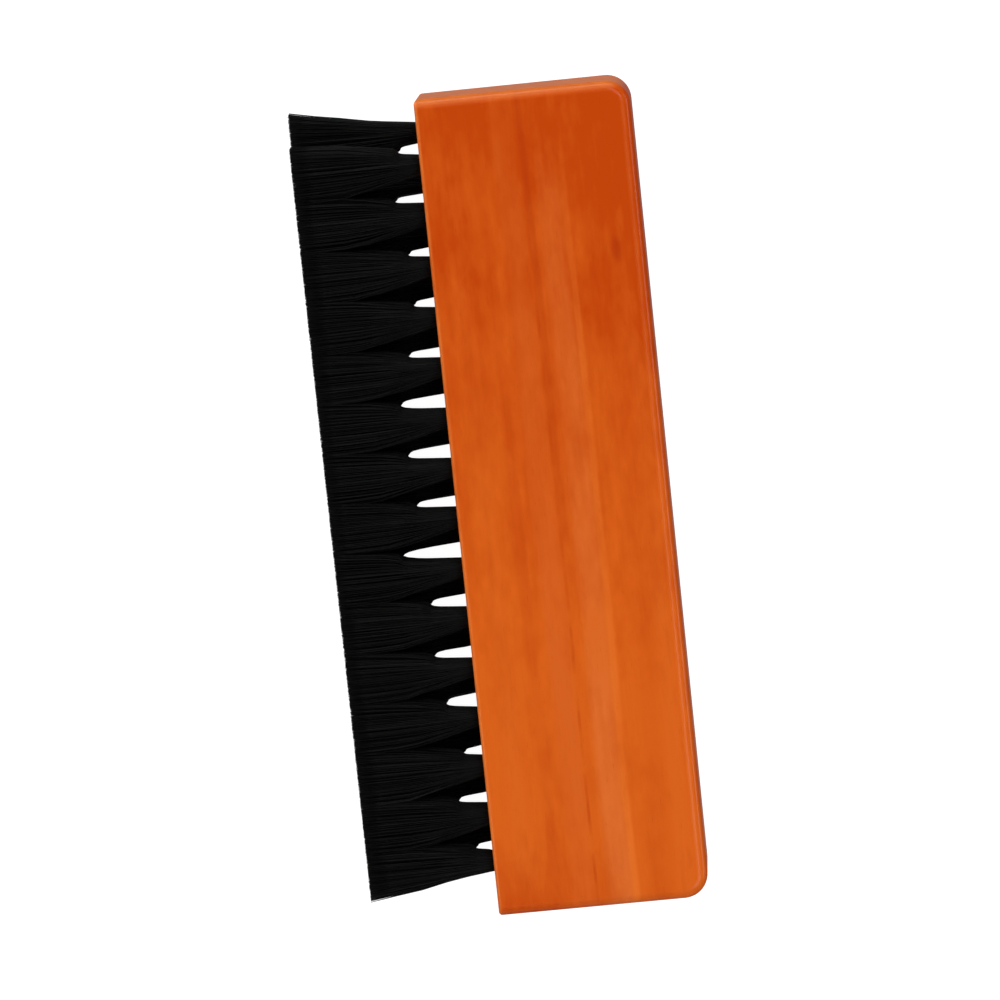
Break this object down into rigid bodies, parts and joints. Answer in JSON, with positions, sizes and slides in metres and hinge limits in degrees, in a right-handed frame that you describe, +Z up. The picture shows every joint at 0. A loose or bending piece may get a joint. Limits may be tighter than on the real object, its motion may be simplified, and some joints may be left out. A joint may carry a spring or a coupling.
{
  "type": "fade brush",
  "caption": "Rectangular lacquered wooden block held in the hand, with staggered rows of short stiff black bristle tufts along one long edge, for brushing cut hair off skin.",
  "frame": {"origin": "centre of the block's lower broad face, on which the brush lies", "axes": "+X from the bristles towards the spine, +Y along the block, +Z up, square to the broad faces"},
  "size_m": [0.0521, 0.127, 0.015],
  "materials": {
    "lacquered_wood": "orange stain under clear gloss lacquer",
    "bristle": "stiff black bristle, slightly glossy",
    "anchor_wire": "plain drawn flat wire"
  },
  "bodies": {
    "root": {"block": "lacquered_wood", "tuft_upper_01": "bristle", "tuft_upper_02": "bristle", "tuft_upper_03": "bristle", "tuft_upper_04": "bristle", "tuft_upper_05": "bristle", "tuft_upper_06": "bristle", "tuft_upper_07": "bristle", "tuft_upper_08": "bristle", "tuft_upper_09": "bristle", "tuft_upper_10": "bristle", "tuft_upper_11": "bristle", "tuft_upper_12": "bristle", "tuft_upper_13": "bristle", "tuft_upper_14": "bristle", "tuft_upper_15": "bristle", "tuft_lower_01": "bristle", "tuft_lower_02": "bristle", "tuft_lower_03": "bristle", "tuft_lower_04": "bristle", "tuft_lower_05": "bristle", "tuft_lower_06": "bristle", "tuft_lower_07": "bristle", "tuft_lower_08": "bristle", "tuft_lower_09": "bristle", "tuft_lower_10": "bristle", "tuft_lower_11": "bristle", "tuft_lower_12": "bristle", "tuft_lower_13": "bristle", "tuft_lower_14": "bristle", "tuft_lower_15": "bristle", "anchors_upper": "anchor_wire", "anchors_lower": "anchor_wire"}
  },
  "joints": []
}
